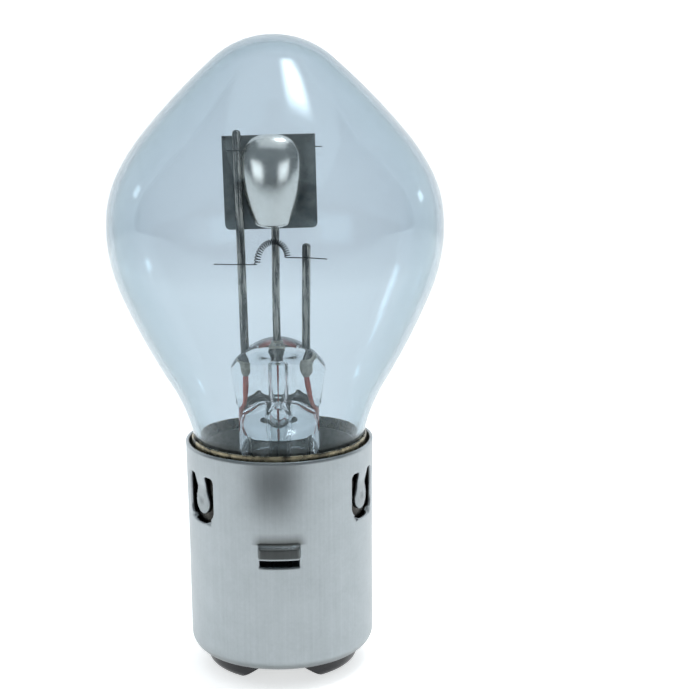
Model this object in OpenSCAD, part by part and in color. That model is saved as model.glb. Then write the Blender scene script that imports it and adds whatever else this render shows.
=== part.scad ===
// Twin-filament headlight bulb on a two-contact bayonet cap. Millimetres.
// The bulb stands on its two contact faces at z = 0, and its axis is Z, with the glass on top.
// The bayonet lugs point along -Y and +Y, and the two contacts lie on X.

/* [Cap] */
// Diameter of the cap's barrel
barrel_d = 20; // [19.8:0.1:20.2]
// Height of the barrel from its bottom edge to its rim
barrel_h = 23.3; // [23:0.1:23.3]
// Thickness of the barrel's sheet metal
sheet_t = 0.35; // [0.35:0.05:0.4]
// Radius of the barrel's rounded bottom edge
bottom_round = 1.7; // [1.4:0.1:1.8]
// How far the contact faces lie below the barrel's bottom edge
contact_drop = 2; // [1.8:0.1:2.4]

/* [Bayonet lugs] */
// Height of a lug's open lower edge above the barrel's bottom edge
lug_z = 13; // [12:0.1:13.5]
// Height of a lug's flat face
lug_h = 1.2; // [1:0.1:1.5]
// Width of a lug
lug_w = 4.55; // [4:0.05:5]
// How far a lug stands out of the barrel
lug_out = 0.9; // [0.7:0.1:1.1]
// Height of the slot that is left under a lug
lug_slot_h = 1.1; // [0.8:0.1:1.3]

/* [Tongues] */
// Height of a tongue window's lower edge above the barrel's bottom edge
window_z = 15.6; // [15.2:0.1:16]
// Height of a tongue window
window_h = 5.2; // [4.8:0.1:5.4]
// Width of a tongue window
window_w = 4.6; // [4.2:0.1:5]
// Width of a tongue at its round end
tongue_w = 2.7; // [2.4:0.1:2.9]

/* [Glass] */
// Height of the glass bulb's top above the barrel's bottom edge
glass_top = 66.4; // [66.4:0.1:67]
// Wall thickness of the glass bulb
glass_t = 0.7; // [0.6:0.05:0.8]
// Wall thickness of the stem's flared tube
flare_t = 1; // [0.8:0.1:1.1]
// Thickness of the stem's flat press
press_t = 2.8; // [2.6:0.1:3]

/* [Wires] */
// Diameter of the two outer support wires
wire_d = 0.9; // [0.8:0.05:1]
// Diameter of the middle support wire
middle_wire_d = 0.75; // [0.7:0.05:0.8]
// Diameter of the sealing wires in the press
seal_wire_d = 0.44; // [0.3:0.02:0.5]
// Diameter of the feed wires from the stem to the cap
feed_wire_d = 0.5; // [0.4:0.05:0.6]

/* [Filaments] */
// Outer diameter of a filament coil
coil_d = 0.56; // [0.5:0.02:0.6]
// Diameter of the tungsten wire
tungsten_d = 0.1; // [0.08:0.01:0.12]
// Turns in the main beam's filament
main_turns = 22; // [18:1:24]
// Turns in the dipped beam's filament
dipped_turns = 16; // [12:1:18]

/* [Shield] */
// Width and height of the square shield plate
plate_size = 9.8; // [9.4:0.1:10]
// Thickness of the shield plate
plate_t = 0.3; // [0.2:0.05:0.4]
// Width of the shield cup
cup_w = 5.9; // [5.6:0.1:6]
// Depth of the shield cup
cup_depth = 2.4; // [2:0.1:2.6]
// Thickness of the shield cup's sheet metal
cup_t = 0.2; // [0.15:0.05:0.25]

/* [Hidden] */
$fn = 96;
// Clearance that keeps solids that fit into each other from sharing volume
fit = 0.02;
// A cutting tool runs this far past the face that it cuts
past = 1;

// Cap
barrel_r = barrel_d / 2;
edge_z = contact_drop;
rim_z = edge_z + barrel_h;
rim_flare = 0.12;
opening_r = barrel_r - bottom_round;
inner_r = barrel_r - sheet_t;
lug_slope_h = 0.5;
// A lug's wedge starts this far inside the barrel's outer face
lug_root = 0.3;
// A lug's slot stops short of each of its sides by this much
lug_side_gap = 0.14;
window_corner_r = 1;
tongue_root_w = 1.5;
tongue_root_h = 1.1;
tongue_gap = 0.9;
// Three tongues stand evenly round the barrel
first_tongue = 63.3;
tongue_step = 120;

// Collar and cement between the glass neck and the cap
collar_r = inner_r - 0.2;
collar_t = 0.22;
collar_top = rim_z + 0.5;
collar_bottom = edge_z + 14.7;
cement_top = collar_top - 1.2;
cement_bottom = collar_bottom + 0.3;

// Glass bulb: arcs from the top centre downwards, each as radius and heading at its end.
// A heading of 0 runs straight outwards and 90 straight down; a negative radius turns inwards.
GLASS_ARCS = [[9.4, 41], [68, 50.15], [23, 61.5], [12, 85], [18.1, 112.5], [72, 121], [-20, 90]];
ARC_STEP = 3;
seal_z = 13;

// Stem
press_z = 29.5;
press_top = edge_z + 34.35;
press_w = 10.4;
press_foot_w = 9.2;
press_arch_r = 5.9;
// The press has its full width down to this far below its top
press_shoulder_h = 3;
pillar_r = 2.1;
stem_r = 4.3;
shoulder_h = 1.8;
flare_rim_r = 8.6;
flare_lip = 0.3;
bore_top = 26.2;
bore_dome_h = 1;
FLARE_STEPS = 10;
exhaust_r = 1;
exhaust_bore_r = 0.6;
exhaust_top = 33.2;
exhaust_tip = 7.5;
blow_hole_z = 28.6;
blow_hole_r = 1.1;

// Support wires: x at the top and at the press, and heights of their ends
wire_r = wire_d / 2;
middle_wire_r = middle_wire_d / 2;
wire_foot_z = 33;
knot_h = 1.4;
knot_r = 0.78;
// A knot's flat ends have this share of its radius, and each end narrows over this share of its height
knot_end = 0.6;
knot_taper = 0.3;
common_top = [-3.95, 0, edge_z + 56.4];
common_foot = [-3.5, 0, wire_foot_z];
main_top = [3.2, 0, edge_z + 44.5];
main_foot = [3, 0, wire_foot_z];
// The plate stands this far behind the outer wires
plate_gap = 0.05;
plate_front = wire_r + plate_gap;
dipped_x = -0.1;
dipped_y = plate_front + plate_t + middle_wire_r;
dipped_foot_z = 34.2;
dipped_top_z = 50.2;
small_knot_h = 0.7;
small_knot_r = 0.45;

// Shield
plate_x = -0.55;
plate_z = edge_z + 50.95;
plate_tilt = 1;
plate_corner_r = 0.65;
aperture_r = 1.9;
aperture_h = 3.2;
aperture_z = 54.2;
cup_x = -0.38;
cup_widest_z = edge_z + 52.4;
cup_top_z = edge_z + 55.9;
cup_foot_z = edge_z + 46.15;
cup_foot_r = 1.4;
// Depth of the cup's foot as a share of its full depth
cup_foot_share = 0.6;
slot_size = 0.4;

// Filaments
coil_r = coil_d / 2 - tungsten_d / 2;
tungsten_r = tungsten_d / 2;
coil_y = coil_r - wire_r - tungsten_r;
main_x = -0.3;
main_half_w = 1.55;
main_foot_z = edge_z + 42.7;
main_rise = 2.15;
main_left_end = -6.6;
main_right_end = 5.4;
dipped_z = edge_z + 54.4;
dipped_from = -2.1;
dipped_to = 1.4;
dipped_left_end = -4.95;
dipped_right_end = 4.95;
// The leg behind the plate leaves the coil by this much along X, and runs back this far before it turns
leg_shift = 0.1;
leg_lead = 0.3;
TURN_STEPS = 8;
COIL_SIDES = 5;
WIRE_SIDES = 10;

// Sealing wires and feed wires
seal_wire_r = seal_wire_d / 2;
feed_wire_r = feed_wire_d / 2;
seal_foot_z = 26.3;
common_seal = [common_foot - [0, 0, knot_h], [-3.2, 0, seal_foot_z]];
main_seal = [main_foot - [0, 0, knot_h], [3.2, 0, seal_foot_z]];
dipped_seal = [[dipped_x, dipped_y, dipped_foot_z - small_knot_h], [-0.2, 2.2, seal_foot_z]];
contact_x = 4.5;
ground_z = 9;
ground_solder_r = 1.4;
// The common feed wire runs this far into its solder
solder_grip = 0.05;
// Bends of the feed wires between the stem and the cap
COMMON_BENDS = [[-2.8, 0, 20], [-4, 0, 11.5]];
MAIN_BENDS = [[2.8, 0, 20], [3, 0, 12], [contact_x, 0, 6.5]];
DIPPED_BENDS = [[-0.6, 2.2, 20], [-2, 2.6, 12], [-contact_x, 0, 6.5]];

// Insulator and contacts
pad_r = opening_r - fit;
pad_z = 0.3;
pad_edge_r = 0.9;
insulator_top = 5.5;
slope_top_x = 2.2;
slope_foot_x = 4.5;
boss_r = 2.6;
contact_r = 2.1;
contact_t = 0.3;
contact_z = 0.15;
wire_hole_r = 0.6;
solder_r = 1.75;
solder_flat_r = 1.5;

SILVER = [0.78, 0.8, 0.82];
NICKEL = [0.45, 0.44, 0.42];
GLASS = [0.72, 0.82, 0.9, 0.35];
TUNGSTEN = [0.25, 0.25, 0.27];
COPPER_RED = [0.72, 0.25, 0.2];
TIN = [0.7, 0.7, 0.72];

// Functions: outlines made of arcs, and tubes along a path

// Points of one arc that starts at p with heading a and ends with heading b
function arc(p, r, a, b) =
    let (n = max(2, ceil(abs(b - a) / ARC_STEP)))
    [for (i = [1:n]) let (h = a + (b - a) * i / n)
        [p[0] + r * (sin(h) - sin(a)), p[1] + r * (cos(h) - cos(a))]];

// Points of a chain of arcs, each of which starts where the last one ended
function arc_chain(p, a, arcs, i = 0) =
    i == len(arcs) ? [] :
    let (points = arc(p, arcs[i][0], a, arcs[i][1]))
    concat(points, arc_chain(points[len(points) - 1], arcs[i][1], arcs, i + 1));

// The same chain moved inwards by t, whose arcs have the same centres
function inset(arcs, t) = [for (a = arcs) [a[0] - t, a[1]]];

function reversed(points) = [for (i = [len(points) - 1:-1:0]) points[i]];

function unit(v) = v / norm(v);

// Direction of a path at its point i
function heading(path, i) =
    unit(path[min(i + 1, len(path) - 1)] - path[max(i - 1, 0)]);

// A path whose corners are cut off at a quarter of each run
function softened(path) = concat(
    [path[0]],
    [for (i = [0:len(path) - 2]) for (share = [0.25, 0.75])
        path[i] + share * (path[i + 1] - path[i])],
    [path[len(path) - 1]]);

// Rings of a tube of radius r along a path, each set square to the path by that point's normal
function tube_points(path, normals, r, sides) =
    [for (i = [0:len(path) - 1])
        let (t = heading(path, i), b = unit(cross(t, normals[i])), n = cross(b, t))
        for (k = [0:sides - 1])
            let (a = 360 * k / sides)
            path[i] + r * (cos(a) * n + sin(a) * b)];

function tube_faces(rings, sides) = concat(
    [[for (k = [0:sides - 1]) k]],
    [for (i = [0:rings - 2]) for (k = [0:sides - 1])
        let (a = i * sides + k, b = i * sides + (k + 1) % sides)
        [a, a + sides, b + sides, b]],
    [[for (k = [sides - 1:-1:0]) (rings - 1) * sides + k]]);

module tube(path, normals, r, sides) {
    polyhedron(tube_points(path, normals, r, sides), tube_faces(len(path), sides), convexity = 10);
}

// Turns and moves its children so that their Z axis runs from a to b
module along(a, b) {
    v = b - a;
    translate(a)
        rotate([0, acos(v[2] / norm(v)), atan2(v[1], v[0])])
            children();
}

// A straight round rod from a to b
module rod(a, b, r) {
    along(a, b)
        cylinder(h = norm(b - a), r = r);
}

// A wire that bends gently along a path
module bent_wire(points, r) {
    path = softened(softened(points));
    tube(path, [for (p = path) [0, 1, 0]], r, WIRE_SIDES);
}

module ring(r_out, r_in, z0, z1) {
    translate([0, 0, z0])
        difference() {
            cylinder(h = z1 - z0, r = r_out);
            translate([0, 0, -past])
                cylinder(h = z1 - z0 + 2 * past, r = r_in);
        }
}

// Glass

module glass_envelope() {
    top = edge_z + glass_top;
    outer = arc_chain([0, top], 0, GLASS_ARCS);
    inner = arc_chain([0, top - glass_t], 0, inset(GLASS_ARCS, glass_t));
    neck_r = outer[len(outer) - 1][0];
    color(GLASS)
        rotate_extrude()
            polygon(concat(
                [[0, top]], outer,
                [[neck_r, seal_z], [neck_r - glass_t, seal_z]],
                reversed(inner), [[0, top - glass_t]]));
}

// The flat press in the plane of the wires, with its arched top
module press_outline(z0) {
    intersection() {
        polygon([
            [-press_foot_w / 2, z0], [press_foot_w / 2, z0],
            [press_w / 2, press_top - press_shoulder_h], [press_w / 2, press_top],
            [-press_w / 2, press_top], [-press_w / 2, press_top - press_shoulder_h]]);
        translate([0, press_top - press_arch_r])
            circle(r = press_arch_r);
    }
}

// Outer radius of the flared tube at height z: it widens from the press to the seal
function flare_r(z) = stem_r + (flare_rim_r - stem_r) * pow((press_z - z) / (press_z - seal_z), 1.5);

// The round flared tube below the press, solid, with a domed shoulder
module flare_form() {
    widths = [for (i = [0:FLARE_STEPS]) let (z = seal_z + (press_z - seal_z) * i / FLARE_STEPS)
        [flare_r(z), z]];
    shoulder = [for (a = [15:15:90]) [stem_r * cos(a), press_z + shoulder_h * sin(a)]];
    rotate_extrude()
        polygon(concat([[0, seal_z - flare_lip], [flare_rim_r, seal_z - flare_lip]], widths, shoulder));
}

// The hollow of the flared tube, which ends under the blow hole
module flare_bore() {
    walls = [for (i = [0:FLARE_STEPS]) let (z = seal_z + (bore_top - seal_z) * i / FLARE_STEPS)
        [flare_r(z) - flare_t, z]];
    end_r = walls[len(walls) - 1][0];
    dome = [for (a = [15:15:90]) [end_r * cos(a), bore_top + bore_dome_h * sin(a)]];
    rotate_extrude()
        polygon(concat([[0, seal_z - past], [flare_rim_r - flare_t, seal_z - past]], walls, dome));
}

module stem_glass() {
    color(GLASS)
        difference() {
            union() {
                rotate([90, 0, 0])
                    linear_extrude(height = press_t, center = true)
                        press_outline(press_z - past);
                intersection() {
                    translate([0, 0, press_z])
                        cylinder(h = press_top - press_z, r = pillar_r);
                    rotate([90, 0, 0])
                        linear_extrude(height = 2 * stem_r, center = true)
                            press_outline(press_z - past);
                }
                flare_form();
            }
            flare_bore();
            translate([0, 0, exhaust_tip])
                cylinder(h = exhaust_top - exhaust_tip + fit, r = exhaust_r + fit);
            translate([0, 0, blow_hole_z])
                rotate([90, 0, 0])
                    cylinder(h = stem_r + past, r = blow_hole_r);
            rod(common_foot, common_top, wire_r + fit);
            rod(main_foot, main_top, wire_r + fit);
            translate([dipped_x, dipped_y, dipped_foot_z])
                cylinder(h = dipped_top_z - dipped_foot_z, r = middle_wire_r + fit);
            weld_knots(fit);
            for (ends = [common_seal, main_seal, dipped_seal])
                rod(ends[0], ends[1], seal_wire_r + fit);
        }
}

module exhaust_tube() {
    color(GLASS)
        difference() {
            union() {
                translate([0, 0, exhaust_tip + exhaust_r])
                    cylinder(h = exhaust_top - exhaust_tip - exhaust_r, r = exhaust_r);
                translate([0, 0, exhaust_tip + exhaust_r])
                    sphere(r = exhaust_r);
            }
            translate([0, 0, exhaust_tip + 2 * exhaust_r])
                cylinder(h = exhaust_top - exhaust_tip, r = exhaust_bore_r);
            translate([0, 0, blow_hole_z])
                rotate([90, 0, 0])
                    cylinder(h = exhaust_r + past, r = exhaust_bore_r);
        }
}

// Wires

// A support wire with a rounded tip
module support_wire(foot, top) {
    length = norm(top - foot);
    tip = [for (a = [0:15:90]) [wire_r * cos(a), length - wire_r + wire_r * sin(a)]];
    color(NICKEL)
        along(foot, top)
            rotate_extrude()
                polygon(concat([[0, 0], [wire_r, 0]], tip));
}

module common_support_wire() {
    support_wire(common_foot, common_top);
}

module main_support_wire() {
    support_wire(main_foot, main_top);
}

module dipped_support_wire() {
    color(NICKEL)
        translate([dipped_x, dipped_y, dipped_foot_z])
            cylinder(h = dipped_top_z - dipped_foot_z, r = middle_wire_r);
}

// A barrel-shaped bead whose flat ends meet the two wires that it joins
module knot(foot, h, r, grow) {
    translate([foot[0], foot[1], foot[2] - h])
        rotate_extrude()
            polygon([
                [0, -grow], [knot_end * r + grow, -grow], [r + grow, knot_taper * h],
                [r + grow, (1 - knot_taper) * h], [knot_end * r + grow, h + grow], [0, h + grow]]);
}

module weld_knots(grow) {
    knot(common_foot, knot_h, knot_r, grow);
    knot(main_foot, knot_h, knot_r, grow);
    knot([dipped_x, dipped_y, dipped_foot_z], small_knot_h, small_knot_r, grow);
}

module lead_weld_knots() {
    color([0.82, 0.78, 0.7])
        weld_knots(0);
}

module common_seal_wire() {
    color(COPPER_RED)
        rod(common_seal[0], common_seal[1], seal_wire_r);
}

module main_seal_wire() {
    color(COPPER_RED)
        rod(main_seal[0], main_seal[1], seal_wire_r);
}

module dipped_seal_wire() {
    color(COPPER_RED)
        rod(dipped_seal[0], dipped_seal[1], seal_wire_r);
}

module common_feed_wire() {
    color(NICKEL)
        bent_wire(concat(
            [common_seal[1]], COMMON_BENDS,
            [[ground_solder_r - inner_r - solder_grip, 0, ground_z]]), feed_wire_r);
}

module main_feed_wire() {
    color(NICKEL)
        bent_wire(concat([main_seal[1]], MAIN_BENDS, [[contact_x, 0, contact_z]]), feed_wire_r);
}

module dipped_feed_wire() {
    color(NICKEL)
        bent_wire(concat([dipped_seal[1]], DIPPED_BENDS, [[-contact_x, 0, contact_z]]), feed_wire_r);
}

// Shield

module shield_plate() {
    inner = plate_size - 2 * plate_corner_r;
    color([0.2, 0.22, 0.22])
        translate([plate_x, plate_front + plate_t, plate_z])
            rotate([90, -plate_tilt, 0])
                linear_extrude(height = plate_t)
                    difference() {
                        union() {
                            translate([-plate_size / 2, -inner / 2])
                                square([plate_size, plate_size / 2 + inner / 2]);
                            translate([-inner / 2, -plate_size / 2])
                                square([inner, plate_size]);
                            for (side = [-1, 1])
                                translate([side * inner / 2, -inner / 2])
                                    circle(r = plate_corner_r);
                        }
                        translate([cup_x - plate_x, aperture_z - plate_z]) {
                            for (end = [-1, 1])
                                translate([0, end * aperture_h / 2])
                                    circle(r = aperture_r);
                            square([2 * aperture_r, aperture_h], center = true);
                        }
                    }
}

// The cup's egg-shaped bowl, smaller all round by t
module cup_bowl(t) {
    top_r = cup_w / 2 - t;
    foot_r = cup_foot_r - t;
    hull() {
        translate([cup_x, plate_front, cup_widest_z])
            scale([top_r, cup_depth - t, cup_top_z - cup_widest_z - t])
                sphere(r = 1, $fn = 32);
        translate([cup_x, plate_front, cup_foot_z + cup_foot_r])
            scale([foot_r, cup_foot_share * (cup_depth - t), foot_r])
                sphere(r = 1, $fn = 32);
    }
}

module shield_cup() {
    size = 4 * cup_w;
    color(SILVER)
        difference() {
            cup_bowl(0);
            cup_bowl(cup_t);
            translate([-size / 2, plate_front - fit, plate_z - size / 2])
                cube(size);
            translate([-size / 2, coil_y - coil_r - slot_size / 2, dipped_z - slot_size / 2])
                cube([size / 2 + cup_x, slot_size, slot_size]);
        }
}

// Filaments

module main_filament() {
    steps = main_turns * TURN_STEPS;
    angles = [for (i = [0:steps]) 180 - 180 * i / steps];
    outward = [for (a = angles) unit([cos(a) / main_half_w, 0, sin(a) / main_rise])];
    radial = [for (i = [0:steps])
        let (turn = 360 * i / TURN_STEPS - 90)
        cos(turn) * outward[i] + sin(turn) * [0, 1, 0]];
    coil = [for (i = [0:steps])
        [main_x + main_half_w * cos(angles[i]), coil_y, main_foot_z + main_rise * sin(angles[i])]
        + coil_r * radial[i]];
    front = [0, -1, 0];
    color(TUNGSTEN)
        tube(
            concat([[main_left_end, coil[0][1], main_foot_z]], coil,
                [[main_right_end, coil[steps][1], main_foot_z]]),
            concat([front], radial, [front]), tungsten_r, COIL_SIDES);
}

module dipped_filament() {
    steps = dipped_turns * TURN_STEPS + TURN_STEPS / 4;
    radial = [for (i = [0:steps])
        let (turn = 360 * i / TURN_STEPS - 90)
        cos(turn) * [0, 0, 1] + sin(turn) * [0, 1, 0]];
    coil = [for (i = [0:steps])
        [dipped_from + (dipped_to - dipped_from) * i / steps, coil_y, dipped_z]
        + coil_r * radial[i]];
    leg_x = dipped_to + leg_shift;
    leg_z = dipped_z + coil_r;
    leg_y = plate_front + plate_t + tungsten_r;
    up = [0, 0, 1];
    color(TUNGSTEN)
        tube(
            concat([[dipped_left_end, coil[0][1], dipped_z]], coil,
                [[leg_x, coil_y + leg_lead, leg_z], [leg_x, leg_y, leg_z],
                [dipped_right_end, leg_y, leg_z]]),
            concat([[0, -1, 0]], radial, [up, up, up]), tungsten_r, COIL_SIDES);
}

// Cap

module inner_collar() {
    color([0.72, 0.62, 0.4])
        ring(collar_r, collar_r - collar_t, collar_bottom, collar_top);
}

// The cement fills the space between the collar and the glass neck
module basing_cement() {
    outer = arc_chain([0, edge_z + glass_top], 0, GLASS_ARCS);
    neck = [for (p = outer) if (p[1] < cement_top) p + [fit, 0]];
    neck_r = neck[len(neck) - 1][0];
    cement_r = collar_r - collar_t - fit;
    color([0.75, 0.72, 0.66])
        rotate_extrude()
            polygon(concat(
                neck, [[neck_r, cement_bottom], [cement_r, cement_bottom], [cement_r, neck[0][1]]]));
}

// Everything inside the sheet metal's outer face, or inside its inner face when t is its thickness.
// The barrel is a true cylinder below the lug slots, and widens very slightly from there to its rim.
module barrel_form(t) {
    corner = [opening_r, edge_z + bottom_round];
    rounding = [for (a = [-90:15:0])
        corner + (bottom_round - t) * [cos(a), sin(a)]];
    rotate_extrude()
        polygon(concat(
            [[0, edge_z + t]], rounding,
            [[barrel_r - t, edge_z + lug_z - lug_slot_h], [barrel_r - t + rim_flare, rim_z],
            [0, rim_z]]));
}

// Side view of a lug, as a wedge whose slope runs up into the barrel
module lug_form(t) {
    z0 = edge_z + lug_z;
    rotate([90, 0, 90])
        linear_extrude(height = lug_w - 2 * t, center = true)
            polygon([
                [-barrel_r + lug_root, z0 - (t > 0 ? past : 0)],
                [-barrel_r - lug_out + t, z0 - (t > 0 ? past : 0)],
                [-barrel_r - lug_out + t, z0 + lug_h - t],
                [-barrel_r + lug_root, z0 + lug_h + lug_slope_h - t]]);
}

// A window's or tongue's outline is cut through the barrel along -Y
module through_wall() {
    rotate([90, 0, 0])
        linear_extrude(height = barrel_r + past)
            children();
}

module window_outline() {
    corner_r = window_corner_r;
    z0 = edge_z + window_z;
    translate([-window_w / 2, z0 + corner_r])
        square([window_w, window_h - corner_r]);
    translate([-window_w / 2 + corner_r, z0])
        square([window_w - 2 * corner_r, corner_r]);
    for (side = [-1, 1])
        translate([side * (window_w / 2 - corner_r), z0 + corner_r])
            circle(r = corner_r);
}

// The tongue hangs from the window's upper edge: a narrow root and a wider round end
module tongue_outline() {
    z1 = edge_z + window_z + window_h;
    end_z = edge_z + window_z + tongue_gap + tongue_w / 2;
    translate([0, end_z])
        circle(r = tongue_w / 2);
    translate([-tongue_root_w / 2, end_z])
        square([tongue_root_w, z1 - end_z + past / 2]);
    polygon([
        [-tongue_w / 2, end_z], [tongue_w / 2, end_z],
        [tongue_root_w / 2, z1 - tongue_root_h], [-tongue_root_w / 2, z1 - tongue_root_h]]);
}

module cap_shell() {
    tongue_r = collar_r + fit;
    color(SILVER) {
        difference() {
            union() {
                barrel_form(0);
                for (a = [0, 180])
                    rotate([0, 0, a])
                        lug_form(0);
            }
            barrel_form(sheet_t);
            cylinder(h = rim_z, r = opening_r);
            translate([0, 0, rim_z - fit])
                cylinder(h = past, r = inner_r + rim_flare);
            for (a = [0, 180])
                rotate([0, 0, a]) {
                    lug_form(sheet_t);
                    translate([0, -barrel_r, edge_z + lug_z - lug_slot_h / 2])
                        cube([lug_w - 2 * lug_side_gap, 2 * past, lug_slot_h], center = true);
                }
            for (a = [0:tongue_step:359])
                rotate([0, 0, first_tongue + a])
                    through_wall()
                        window_outline();
        }
        for (a = [0:tongue_step:359])
            rotate([0, 0, first_tongue + a])
                intersection() {
                    ring(tongue_r + sheet_t, tongue_r, edge_z + window_z, rim_z);
                    through_wall()
                        tongue_outline();
                }
    }
}

// Solder that joins the common feed wire to the inside of the cap
module ground_solder() {
    color(TIN)
        intersection() {
            translate([-inner_r, 0, ground_z])
                sphere(r = ground_solder_r);
            cylinder(h = rim_z, r = inner_r - fit);
        }
}

// The insulator fills the cap's bottom and ends in two pads, one for each contact
module insulator() {
    shell_corner = [opening_r, edge_z + bottom_round];
    rounding = [for (a = [-90:15:0])
        shell_corner + (bottom_round - sheet_t - fit) * [cos(a), sin(a)]];
    edge = [for (a = [-90:15:0])
        [pad_r - pad_edge_r, pad_z + pad_edge_r] + pad_edge_r * [cos(a), sin(a)]];
    color([0.05, 0.05, 0.06])
        difference() {
            union() {
                rotate_extrude()
                    polygon(concat(
                        [[0, edge_z], [pad_r, edge_z], [pad_r, edge_z + sheet_t + fit]], rounding,
                        [[inner_r - fit, insulator_top], [0, insulator_top]]));
                intersection() {
                    rotate_extrude()
                        polygon(concat([[0, pad_z]], edge, [[pad_r, edge_z + fit], [0, edge_z + fit]]));
                    for (side = [0, 180])
                        rotate([0, 0, side]) {
                            rotate([90, 0, 0])
                                linear_extrude(height = 2 * pad_r, center = true)
                                    polygon([
                                        [slope_top_x, edge_z + fit], [slope_foot_x, pad_z],
                                        [pad_r, pad_z], [pad_r, edge_z + fit]]);
                            translate([contact_x, 0, pad_z])
                                cylinder(h = edge_z - pad_z + fit, r = boss_r);
                        }
                }
            }
            for (side = [-1, 1])
                translate([side * contact_x, 0, 0]) {
                    cylinder(h = contact_z + contact_t + fit, r = contact_r + fit);
                    cylinder(h = insulator_top + past, r = wire_hole_r);
                }
        }
}

module contact(x) {
    color([0.8, 0.65, 0.35])
        translate([x, 0, contact_z])
            difference() {
                cylinder(h = contact_t, r = contact_r);
                translate([0, 0, -past])
                    cylinder(h = contact_t + 2 * past, r = feed_wire_r + fit);
            }
}

module dipped_contact() {
    contact(-contact_x);
}

module main_contact() {
    contact(contact_x);
}

// A flat-topped drop of solder, whose face is the lowest point of the bulb
module solder(x) {
    color(TIN)
        translate([x, 0, 0])
            cylinder(h = contact_z, r1 = solder_flat_r, r2 = solder_r);
}

module dipped_solder() {
    solder(-contact_x);
}

module main_solder() {
    solder(contact_x);
}

glass_envelope();
stem_glass();
exhaust_tube();
common_support_wire();
dipped_support_wire();
main_support_wire();
shield_plate();
shield_cup();
main_filament();
dipped_filament();
lead_weld_knots();
common_seal_wire();
dipped_seal_wire();
main_seal_wire();
common_feed_wire();
dipped_feed_wire();
main_feed_wire();
inner_collar();
basing_cement();
cap_shell();
ground_solder();
insulator();
dipped_contact();
main_contact();
dipped_solder();
main_solder();
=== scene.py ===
"""Looks of a twin-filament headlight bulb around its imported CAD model."""

import math

import bmesh
import bpy
import numpy as np
import openvdb
from mathutils import Matrix, Vector
from mathutils.geometry import delaunay_2d_cdt


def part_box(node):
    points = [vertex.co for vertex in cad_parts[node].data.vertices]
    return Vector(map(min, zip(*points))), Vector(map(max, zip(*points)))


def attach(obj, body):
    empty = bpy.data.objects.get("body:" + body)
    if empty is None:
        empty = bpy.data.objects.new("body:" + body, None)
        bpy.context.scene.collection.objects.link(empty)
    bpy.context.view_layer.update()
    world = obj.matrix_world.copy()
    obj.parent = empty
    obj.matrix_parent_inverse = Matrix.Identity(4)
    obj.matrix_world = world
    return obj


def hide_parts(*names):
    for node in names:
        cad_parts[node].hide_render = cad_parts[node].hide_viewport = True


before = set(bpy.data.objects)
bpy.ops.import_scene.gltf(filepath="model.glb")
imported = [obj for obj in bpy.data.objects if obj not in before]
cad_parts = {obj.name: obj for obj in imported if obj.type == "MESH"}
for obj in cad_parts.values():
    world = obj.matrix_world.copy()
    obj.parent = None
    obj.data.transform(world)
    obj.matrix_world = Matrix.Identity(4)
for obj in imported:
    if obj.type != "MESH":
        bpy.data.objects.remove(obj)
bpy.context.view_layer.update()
scene = bpy.context.scene

# Lengths below are in millimetres, in the CAD frame, and become metres where a mesh is made.
MM = 0.001


def node_box(node):
    """Lowest and highest corner of a CAD node, in millimetres."""
    low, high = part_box(node)
    return np.array(low) / MM, np.array(high) / MM


shell_low, shell_high = node_box("cap_shell")
EDGE_Z = shell_low[2]
RIM_Z = shell_high[2]
GLASS_TOP = node_box("glass_envelope")[1][2]

# Sizes of the cap: a rolled sheet with a lip below, two lugs over slots and three windows with tongues.
SHEET, BARREL_R, BEND_R, RIM_SPREAD = 0.35, 10.0, 1.7, 0.12
CYLINDER_TOP = EDGE_Z + 11.9
LUG_Z, LUG_FACE, LUG_SLOPE, LUG_W, LUG_OUT, SLOT_H = EDGE_Z + 13, 1.2, 0.2, 4.55, 0.9, 1.1
WINDOW_Z, WINDOW_H, WINDOW_W = EDGE_Z + 15.6, 5.2, 4.6
TONGUE_W, TONGUE_ROOT, TONGUE_GAP, TONGUE_IN = 2.7, 1.75, 0.9, 0.27
LUGS, TONGUES = (0.0, 180.0), (63.3, 183.3, 303.3)
FRONT, SEAM = -90.0, 33.3
CUT_EDGE, WELD_Z = 0.07, 1.5

# ---------------------------------------------------------------- mesh helpers


def make_piece(name, verts, faces, material, slot, replaces):
    """A mesh object that rides on the bulb, from points in millimetres."""
    mesh = bpy.data.meshes.new(name)
    mesh.from_pydata((np.asarray(verts, float) * MM).tolist(), [], faces)
    mesh.validate()
    bm = bmesh.new()
    bm.from_mesh(mesh)
    bmesh.ops.remove_doubles(bm, verts=bm.verts, dist=1e-7)
    bmesh.ops.recalc_face_normals(bm, faces=bm.faces)
    bm.to_mesh(mesh)
    bm.free()
    mesh.polygons.foreach_set("use_smooth", [True] * len(mesh.polygons))
    mesh.materials.append(material)
    piece = bpy.data.objects.new(name, mesh)
    scene.collection.objects.link(piece)
    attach(piece, "root")
    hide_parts(*replaces)
    return piece


def arc_chain(start, heading, arcs, step=1.5):
    """Points of tangent arcs, each given as radius and heading at its end; heading 90 runs straight down."""
    points = [np.array(start, float)]
    for radius, end in arcs:
        count = max(2, math.ceil(abs(end - heading) / step))
        origin = points[-1]
        for i in range(1, count + 1):
            h = math.radians(heading + (end - heading) * i / count)
            h0 = math.radians(heading)
            step_on = np.array([math.sin(h) - math.sin(h0), math.cos(h) - math.cos(h0)])
            points.append(origin + radius * step_on)
        heading = end
    return points


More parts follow.
